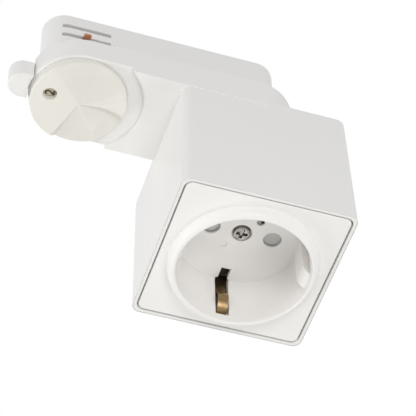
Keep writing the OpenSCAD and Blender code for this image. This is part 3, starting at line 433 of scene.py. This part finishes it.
# Number dial: a flat disc in the bar's step, behind the knob's window.
# Beige acetal with three numbers printed on it, so that the window shows the circuit in use.
# Matt acetal: warm beige with mottling about 1.5 mm wide and a fine grain that keeps it dull.
beige_acetal, tree, shader, place = new_finish("matt_beige_acetal")
mottle = noise(tree, place, 1.5, 3.0)
tone = blend(tree, mottle.outputs["Fac"], "#CFC6B2", "#DAD2C0")
gloss = spread(tree, mottle.outputs["Fac"], 0.5, 0.62)
grain = noise(tree, place, 0.3, 1.0)
relief = bump(tree, grain.outputs["Fac"], 0.2, 0.01)
connect(tree, shader, tone, gloss, relief)


def ring_sector(name, inner, outer, low, high, start, sweep):
    """A solid sector of a ring about the selector's axis, in millimetres and degrees."""
    bpy.ops.object.select_all(action="DESELECT")
    bpy.ops.mesh.primitive_plane_add(size=0.001)
    sector = bpy.context.object
    sector.name = name
    bpy.ops.object.mode_set(mode="EDIT")
    bpy.ops.mesh.select_all(action="SELECT")
    bpy.ops.transform.resize(value=(outer - inner, high - low, 1))
    bpy.ops.transform.rotate(value=math.pi / 2, orient_axis="X", center_override=(0, 0, 0))
    bpy.ops.transform.translate(value=((inner + outer) / 2000, 0, (low + high) / 2000))
    bpy.ops.mesh.spin(steps=64, angle=-math.radians(sweep), center=(0, 0, 0), axis=(0, 0, 1))
    bpy.ops.mesh.select_all(action="SELECT")
    bpy.ops.mesh.normals_make_consistent(inside=False)
    bpy.ops.object.mode_set(mode="OBJECT")
    sector.matrix_world = (Matrix.Translation((selector_x / 1000, 0, 0))
                           @ Matrix.Rotation(math.radians(start), 4, "Z"))
    bpy.ops.object.transform_apply(location=True, rotation=True, scale=True)
    return sector


def combine(piece, other, operation):
    """Joins a second solid to a piece, or cuts it out, and takes the second one away."""
    select_only(piece)
    step = piece.modifiers.new("combine", "BOOLEAN")
    step.object = other
    step.operation = operation
    step.solver = "EXACT"
    bpy.ops.object.modifier_apply(modifier="combine")
    bpy.data.objects.remove(other)


# The numbers stand on a raised land that reaches into the knob, so that they show near its face.
land_z, land_in, land_out, land_start, land_sweep = -11.05, 7.1, 10.7, 114, 138
land_root, land_round, on_land = 0.3, 0.1, 0.02
dial = copy_of("number_dial", "number_dial_disc")
land = ring_sector("land", land_in, land_out, land_z, step_z + land_root, land_start, land_sweep)
combine(dial, land, "UNION")
round_edges(dial, lambda x, y, z: abs(z - land_z) < on_land, land_round, 2)
stand_for(dial, "number_dial", "adapter", beige_acetal)

# Pad print: a soft black that thins a little where the pad lifted, in spots of 0.6 mm.
print_ink, tree, shader, place = new_finish("pad_printed_ink")
thin = noise(tree, place, 0.6, 2.0)
tone = blend(tree, thin.outputs["Fac"], "#1E1D1C", "#35322F")
gloss = spread(tree, thin.outputs["Fac"], 0.45, 0.6)
connect(tree, shader, tone, gloss)

number_r, number_height, ink_thickness, bold = 8.75, 4.0, 0.02, 0.06
for number, turn in (("1", 123), ("2", 183), ("3", 243)):
    bpy.ops.object.select_all(action="DESELECT")
    bpy.ops.object.text_add()
    figure = bpy.context.object
    figure.name = "dial_number_" + number
    figure.data.body = number
    figure.data.size = number_height / 1000
    figure.data.align_x = "CENTER"
    figure.data.align_y = "CENTER"
    figure.data.extrude = ink_thickness / 2000
    figure.data.offset = bold / 1000
    bpy.ops.object.convert(target="MESH")
    figure = bpy.context.object
    figure.data.name = figure.name
    outward = Vector((math.cos(math.radians(turn)), math.sin(math.radians(turn)), 0))
    down = Vector((0, 0, -1))
    reading = outward.cross(down)
    at = Vector((selector_x, 0, land_z - ink_thickness / 2)) + number_r * outward
    figure.matrix_world = Matrix(
        [[reading[i], outward[i], down[i], at[i] / 1000] for i in range(3)] + [[0, 0, 0, 1]]
    )
    bpy.ops.object.transform_apply(location=True, rotation=True, scale=True)
    figure.data.materials.clear()
    figure.data.materials.append(print_ink)
    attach(figure, "adapter")


# Selector knob: a round disc with two scoops that leave a bow-tie grip, and a window near its rim.
# Ivory ABS, polished, and fixed to the rotor; its creases are softly broken.
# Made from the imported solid: the scoops' floors are tilted, the foot of the far one's wall is moved, and
# a groove in its back clears the dial's land.
# Polished ivory ABS: creamier than the housing, with a tighter sheen and clouds some 12 mm wide.
ivory_abs, tree, shader, place = new_finish("polished_ivory_abs")
cloud = noise(tree, place, 12, 3.0)
tone = blend(tree, cloud.outputs["Fac"], "#EDEAE1", "#F0EDE6")
patch = noise(tree, place, 4, 4.0)
gloss = spread(tree, patch.outputs["Fac"], 0.28, 0.38)
grain = noise(tree, place, 0.4, 2.0)
relief = bump(tree, grain.outputs["Fac"], 0.2, 0.01)
connect(tree, shader, tone, gloss, relief)

knob = copy_of("selector_knob", "selector_knob_moulding")
knob_r, knob_face, knob_back, grip_turn, scoop_reach = 14.5, -13.1, -9.95, -12, 15.5
grip_edge, grip_flare, thin_wall = 17, 15, 9
least_depth, near_floor = 0.02, 0.2
# Turn and depth at the rim of each scoop's five lines, from the thin end of the grip to its broad end: as
# the solid has them, and with the floors tilted as seen, a valley on the near side, a spine on the far side.
solid_depths = (0, 2.5, 1.3, 1.1, 0)
near_depths, far_depths = (0, 1.2, 2.1, 0.7, 0), (0, 2.5, 0.6, 1.6, 0)
solid_turns, far_turns = (66, 103, 122), (66, 116, 122)


def between(turn, lines, values):
    """The value at a turn, in proportion between two lines of a scoop."""
    for i in range(len(lines) - 1):
        if lines[i] <= turn <= lines[i + 1]:
            return values[i] + (values[i + 1] - values[i]) * (turn - lines[i]) / (lines[i + 1] - lines[i])
    return 0


for point in knob.data.vertices:
    x, y, z = point.co * 1000
    r = math.hypot(x - selector_x, y)
    turn = (math.degrees(math.atan2(y, x - selector_x)) - grip_turn + 180) % 360 - 180
    narrow = grip_edge - grip_flare * (1 - (r / scoop_reach) ** 2)
    lines = (narrow, narrow + thin_wall) + solid_turns
    depth = between(abs(turn), lines, solid_depths) * r / knob_r
    if z > knob_back or depth < least_depth or abs(z - knob_face - depth) > near_floor:
        continue
    seen_depth = between(abs(turn), lines, far_depths if turn > 0 else near_depths) * r / knob_r
    point.co.z = (z - depth + seen_depth) / 1000
    if turn > 0:
        seen_lines = (narrow, narrow + thin_wall) + far_turns
        seen_turn = math.radians(between(turn, lines, seen_lines) + grip_turn)
        point.co.x = (selector_x + r * math.cos(seen_turn)) / 1000
        point.co.y = r * math.sin(seen_turn) / 1000

turn_each_way, groove_gap, groove_gap_turn, groove_top = 60, 0.2, 2, -9.5
groove_z = land_z - groove_gap
groove = ring_sector("groove", land_in - groove_gap, land_out + groove_gap, groove_z, groove_top,
                     land_start - turn_each_way - groove_gap_turn,
                     land_sweep + 2 * turn_each_way + 2 * groove_gap_turn)
combine(knob, groove, "DIFFERENCE")
crease_from_r, crease_to_r, crease_round = 4, 13.7, 0.2
round_edges(knob, lambda x, y, z: z < knob_back and abs(z - groove_z) > on_land
            and crease_from_r < math.hypot(x - selector_x, y) < crease_to_r, crease_round, sharper=4)
stand_for(knob, "selector_knob", "selector", ivory_abs, smooth=25)


# Phase contacts and slip ring: the rotor's three blades, at three heights, and the ring they feed.
# Copper strip, rolled and stamped, pressed into the rotor's slots.
# Rolled copper: red brown, with lines drawn at 0.25 mm along the strip and darker patches of 2.5 mm.
copper, tree, shader, place = new_finish("rolled_copper_strip")
stretch = add(tree, "ShaderNodeMapping", {"Vector": place}, {"Scale": (0.08, 0.08, 1.0)})
lines = noise(tree, stretch.outputs[0], 0.25, 2.0)
tarnish = noise(tree, place, 2.5, 4.0)
tone = blend(tree, tarnish.outputs["Fac"], "#C98F6C", "#9C6547")
gloss = spread(tree, tarnish.outputs["Fac"], 0.26, 0.46)
relief = bump(tree, lines.outputs["Fac"], 0.2, 0.01)
shader.inputs["Metallic"].default_value = 1.0
connect(tree, shader, tone, gloss, relief)
dress(copper, "phase_contact_1", "phase_contact_2", "phase_contact_3", "slip_ring")


# Lock slider: its half-round tab stands out of the bar's end to be pulled, the rest runs inside.
# White ABS like the housing, with well rounded edges on the tab where a finger pulls.
slider = copy_of("lock_slider", "lock_slider_moulding")
tab_from_x, tab_inner_r = -68.4, 15.4
inner_round, finger_round = 0.1, 0.6
round_edges(slider, lambda x, y, z: x < tab_from_x
            and abs(math.hypot(x - selector_x, y) - tab_inner_r) < on_level, inner_round, 2)
round_edges(slider, lambda x, y, z: x < tab_from_x
            and math.hypot(x - selector_x, y) > tab_inner_r - on_level, finger_round, 4, sharper=50)
stand_for(slider, "lock_slider", "lock", white_abs)


# Wires: three short leads from the tongue's contacts down to the socket's terminals.
# Stranded copper in extruded PVC, brown for live, blue for neutral, green and yellow for earth.
# Extruded PVC: a smooth even colour with a soft sheen, a little lighter where it bends and chalks, in
# patches of 4 mm; the earth lead's two colours take turns in bands 2.4 mm wide.
band_width = 2.4
wire_colours = (
    ("live_wire", "extruded_brown_pvc", "#5A3A25", "#6B4830"),
    ("neutral_wire", "extruded_blue_pvc", "#2F5E9E", "#3F70AE"),
    ("earth_wire", "extruded_green_yellow_pvc", "#4E8A35", "#D9C23A"),
)
for wire, name, first, second in wire_colours:
    pvc, tree, shader, place = new_finish(name)
    chalk = noise(tree, place, 4, 3.0)
    share = chalk.outputs[0]
    if wire == "earth_wire":
        bands = add(tree, "ShaderNodeTexWave", {"Vector": place}, {"Scale": 1000 / band_width / 20 * math.pi})
        share = steepen(tree, bands.outputs["Fac"], 0.45, 0.55).outputs[0]
    tone = blend(tree, share, first, second)
    gloss = spread(tree, chalk.outputs["Fac"], 0.38, 0.52)
    connect(tree, shader, tone, gloss)
    dress(pvc, wire)
